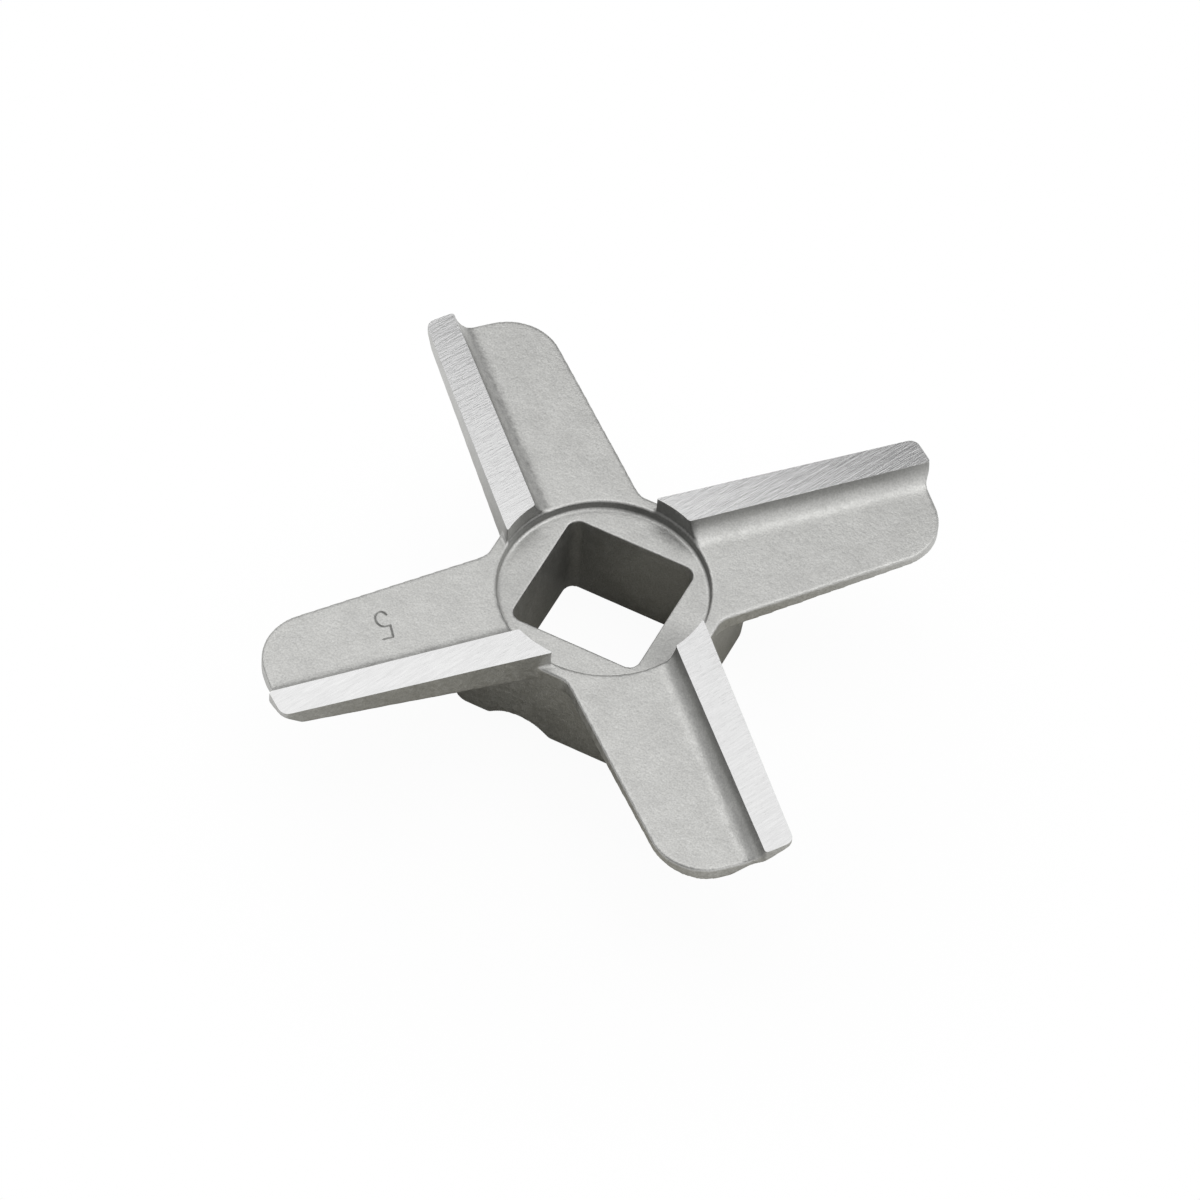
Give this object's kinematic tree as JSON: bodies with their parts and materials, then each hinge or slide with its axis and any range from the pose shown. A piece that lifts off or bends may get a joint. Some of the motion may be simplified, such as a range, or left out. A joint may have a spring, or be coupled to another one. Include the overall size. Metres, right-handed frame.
{
  "type": "meat grinder knife",
  "caption": "Cross-shaped meat grinder knife: square drive hole in a square hub, paddle arms with raised ground cutting lands on their leading sides.",
  "frame": {"origin": "on the hub's axis, in the plane of the hub's lower face, which is the end that slides onto the feed screw's square", "axes": "+Z along the axis towards the cutting lands, which run against the hole plate; X and Y square to the flats of the drive hole, so the arms lie on the diagonals"},
  "size_m": [0.0392, 0.0392, 0.0091],
  "materials": {
    "cast_steel": "blasted casting with ground cutting lands"
  },
  "bodies": {
    "root": {"grinder_knife": "cast_steel"}
  },
  "joints": []
}
